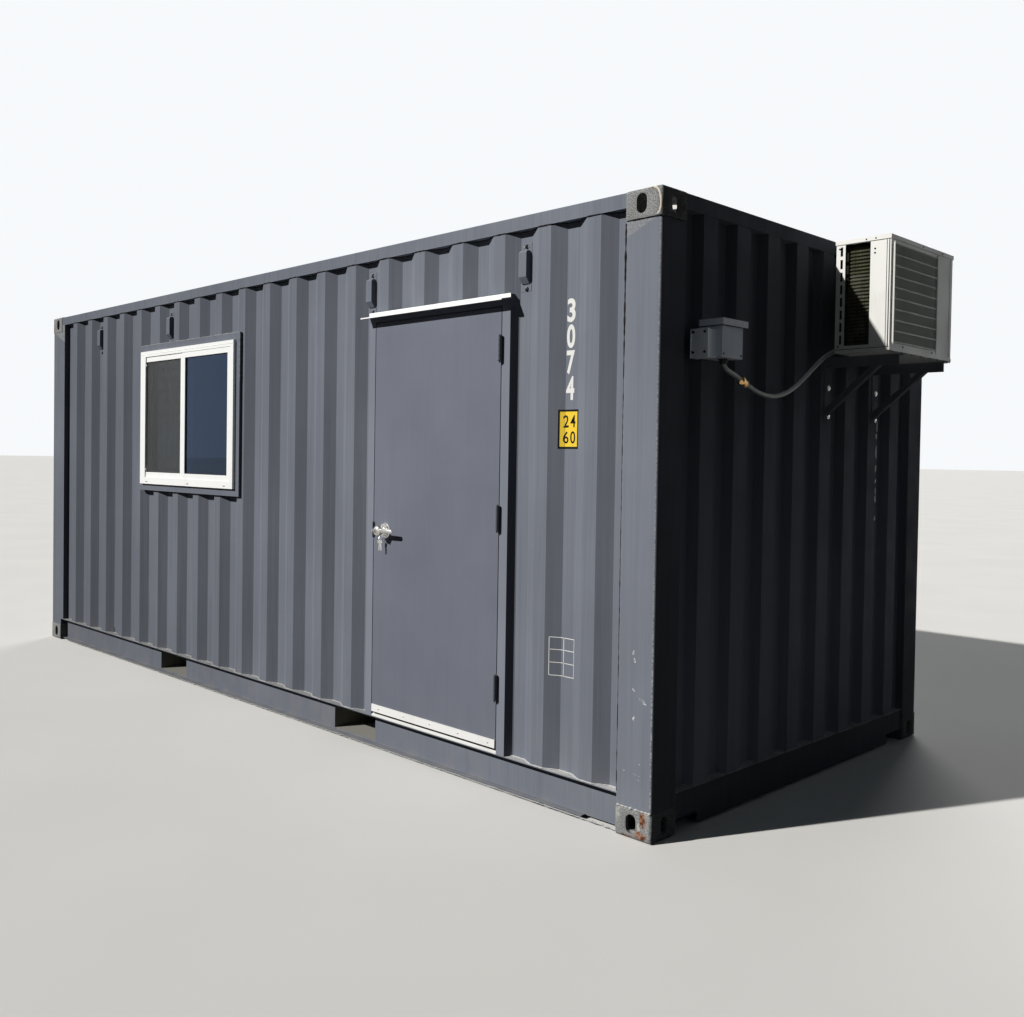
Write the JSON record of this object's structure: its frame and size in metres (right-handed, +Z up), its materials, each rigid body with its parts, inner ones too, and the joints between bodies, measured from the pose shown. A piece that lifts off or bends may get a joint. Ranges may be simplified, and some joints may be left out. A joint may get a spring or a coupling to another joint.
{
  "type": "shipping container cabin",
  "caption": "Twenty foot container made into a cabin, with a person door that opens, a slider window, wall vents, and a condenser unit on end-wall brackets.",
  "frame": {"origin": "centre of the container's footprint, on the plane of the bottom corner castings' undersides, midway between the four castings", "axes": "+X along the container towards the closed end with the condenser unit, +Y towards the plain long side, away from the door and window, +Z up"},
  "size_m": [6.424, 2.501, 2.591],
  "materials": {
    "steel": "semi-gloss slate grey paint over corrugated and folded steel",
    "steel_cast": "slate grey paint over cast steel, worn to rust at the edges",
    "floor": "sealed plywood",
    "lining": "plain off-white wall board",
    "rubber": "matte black seal",
    "white_frame": "white extruded window profile",
    "white_metal": "white coated aluminium",
    "glass": "clear float glass",
    "screen": "grey woven insect screen",
    "door": "smooth slate grey painted steel",
    "aluminium": "mill finish",
    "lock": "satin steel lockset",
    "unit": "off-white coated sheet",
    "unit_dark": "dark grey guard and fan",
    "coil": "aluminium fins",
    "box": "grey enclosure",
    "conduit": "grey flexible conduit",
    "fitting": "worn brass coupling",
    "zinc": "galvanised steel"
  },
  "bodies": {
    "cabin": {"corner_castings": "steel_cast", "corner_posts": "steel", "top_side_rails": "steel", "bottom_side_rails": "steel", "closed_end_top_rail": "steel", "closed_end_sill": "steel", "door_end_header": "steel", "door_end_sill": "steel", "roof_panel": "steel", "cross_members": "steel", "fork_pockets": "steel", "floor_boards": "floor", "wall_front_left": "steel", "wall_front_over_door": "steel", "wall_front_right": "steel", "wall_back": "steel", "wall_closed_end": "steel", "wall_lining": "lining", "ceiling": "lining", "cargo_door_left": "steel", "cargo_door_right": "steel", "cargo_door_gaskets": "rubber", "lock_rods": "zinc", "lock_rod_keepers": "steel", "cargo_door_hinges": "steel", "window_surround": "steel", "window_frame": "white_frame", "window_sash": "white_frame", "window_glass": "glass", "insect_screen": "screen", "door_jambs": "door", "door_head": "door", "door_threshold": "aluminium", "door_hinges_frame": "door", "strike_plate": "lock", "drip_cap": "white_metal", "wall_vents": "steel", "unit_casing": "unit", "unit_guard": "unit_dark", "unit_coil": "coil", "unit_fan": "unit_dark", "unit_brackets": "steel", "disconnect_box": "box", "junction_box": "box", "conduit": "conduit", "conduit_fitting": "fitting"},
    "door": {"door_leaf": "door", "door_sweep": "white_metal", "door_hinges_leaf": "door", "door_lock": "lock"},
    "lever": {"door_lever": "lock"}
  },
  "joints": [
    {"name": "door_hinge", "type": "hinge", "parent": "cabin", "child": "door", "pos_m": [2.1525, -1.231, 1.195], "axis": [0, 0, 1], "range_deg": [0, 170]},
    {"name": "lever_pivot", "type": "hinge", "parent": "door", "child": "lever", "pos_m": [1.332, -1.218, 1.138], "axis": [0, 1, 0], "range_deg": [0, 50], "stiffness_Nm_per_rad": 1.2, "springref_deg": -28.65}
  ]
}
